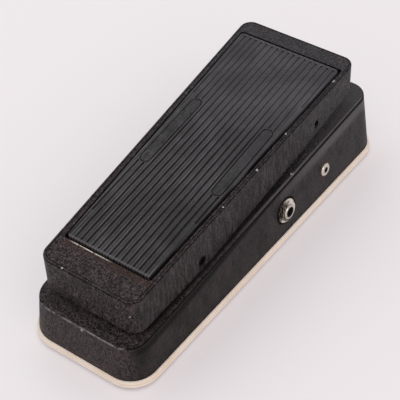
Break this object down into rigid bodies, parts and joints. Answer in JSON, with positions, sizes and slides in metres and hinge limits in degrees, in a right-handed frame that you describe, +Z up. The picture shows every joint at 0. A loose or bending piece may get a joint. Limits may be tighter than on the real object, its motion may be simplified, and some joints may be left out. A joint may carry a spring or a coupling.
{
  "type": "volume pedal",
  "caption": "Foot-operated volume pedal: a ribbed rubber-topped cast treadle rocks on a cast wedge chassis and turns a potentiometer through a rack and pinion.",
  "frame": {"origin": "on the floor under the feet, at the middle of the base", "axes": "+X to the player's right, +Y from heel to toe, +Z up"},
  "size_m": [0.1028, 0.253, 0.0775],
  "materials": {
    "black_wrinkle_paint": "semi-gloss wrinkle",
    "tread_rubber": "worn satin",
    "cream_rubber": "matte, aged",
    "black_rubber": "matte",
    "zinc_plate": "zinc plated",
    "plated_screws": "plated",
    "steel_pins": "ground",
    "bronze": "sintered",
    "white_nylon": "moulded",
    "nickel_plate": "dulled nickel",
    "jack_bodies": "nickel bush, dark body",
    "tinned_tags": "tinned",
    "pot_can": "drawn",
    "board_laminate": "paper laminate",
    "component_plastic": "moulded",
    "battery_case": "plain sleeve",
    "snap_plastic": "soft vinyl",
    "wire_insulation": "pvc"
  },
  "bodies": {
    "chassis": {"base_gasket": "cream_rubber", "base_plate": "zinc_plate", "base_screws": "plated_screws", "battery": "battery_case", "battery_clip": "plated_screws", "battery_snap": "snap_plastic", "battery_wires": "wire_insulation", "board_screws": "plated_screws", "bracket_screws": "plated_screws", "capacitors": "component_plastic", "chassis_shell": "black_wrinkle_paint", "circuit_board": "board_laminate", "clip_rivet": "plated_screws", "foot_washers": "plated_screws", "guide_screws": "plated_screws", "heel_bumper": "black_rubber", "input_jack_body": "jack_bodies", "input_jack_nut": "nickel_plate", "input_jack_tags": "tinned_tags", "input_jack_washer": "nickel_plate", "input_wires": "wire_insulation", "output_jack_body": "jack_bodies", "output_jack_nut": "nickel_plate", "output_jack_tags": "tinned_tags", "output_jack_washer": "nickel_plate", "output_wires": "wire_insulation", "pivot_bushes": "bronze", "pot_body": "pot_can", "pot_bracket": "zinc_plate", "pot_nut": "nickel_plate", "pot_washer": "nickel_plate", "pot_wires": "wire_insulation", "power_socket_body": "jack_bodies", "power_socket_nut": "nickel_plate", "power_wires": "wire_insulation", "rack_guide": "white_nylon", "resistors": "component_plastic", "rubber_feet": "black_rubber", "thrust_washers": "white_nylon", "toe_bumper": "black_rubber", "transistors": "component_plastic"},
    "treadle": {"treadle_shell": "black_wrinkle_paint", "rubber_tread": "tread_rubber", "pivot_shaft": "steel_pins", "pivot_clips": "plated_screws", "rack_pin": "steel_pins", "pin_clips": "plated_screws"},
    "rack": {"rack": "white_nylon"},
    "pinion": {"pinion_gear": "white_nylon", "pinion_grub_screw": "plated_screws", "pot_shaft": "steel_pins"}
  },
  "joints": [
    {"name": "treadle_rock", "type": "hinge", "parent": "chassis", "child": "treadle", "pos_m": [0, -0.055, 0.04325], "axis": [1, 0, 0], "range_deg": [-2.8, 3.8]},
    {"name": "rack_slide", "type": "slide", "parent": "chassis", "child": "rack", "axis": [0, 0, 1], "range_m": [-0.0057, 0.00773]},
    {"name": "pinion_spin", "type": "hinge", "parent": "chassis", "child": "pinion", "pos_m": [0, 0.0525, 0.025], "axis": [1, 0, 0], "range_deg": [-54.37, 73.76]}
  ],
  "couplings": [
    {"joint": "rack_slide", "follows": "treadle_rock", "m_per_rad": 0.1163},
    {"joint": "pinion_spin", "follows": "treadle_rock", "ratio": 19.383}
  ]
}
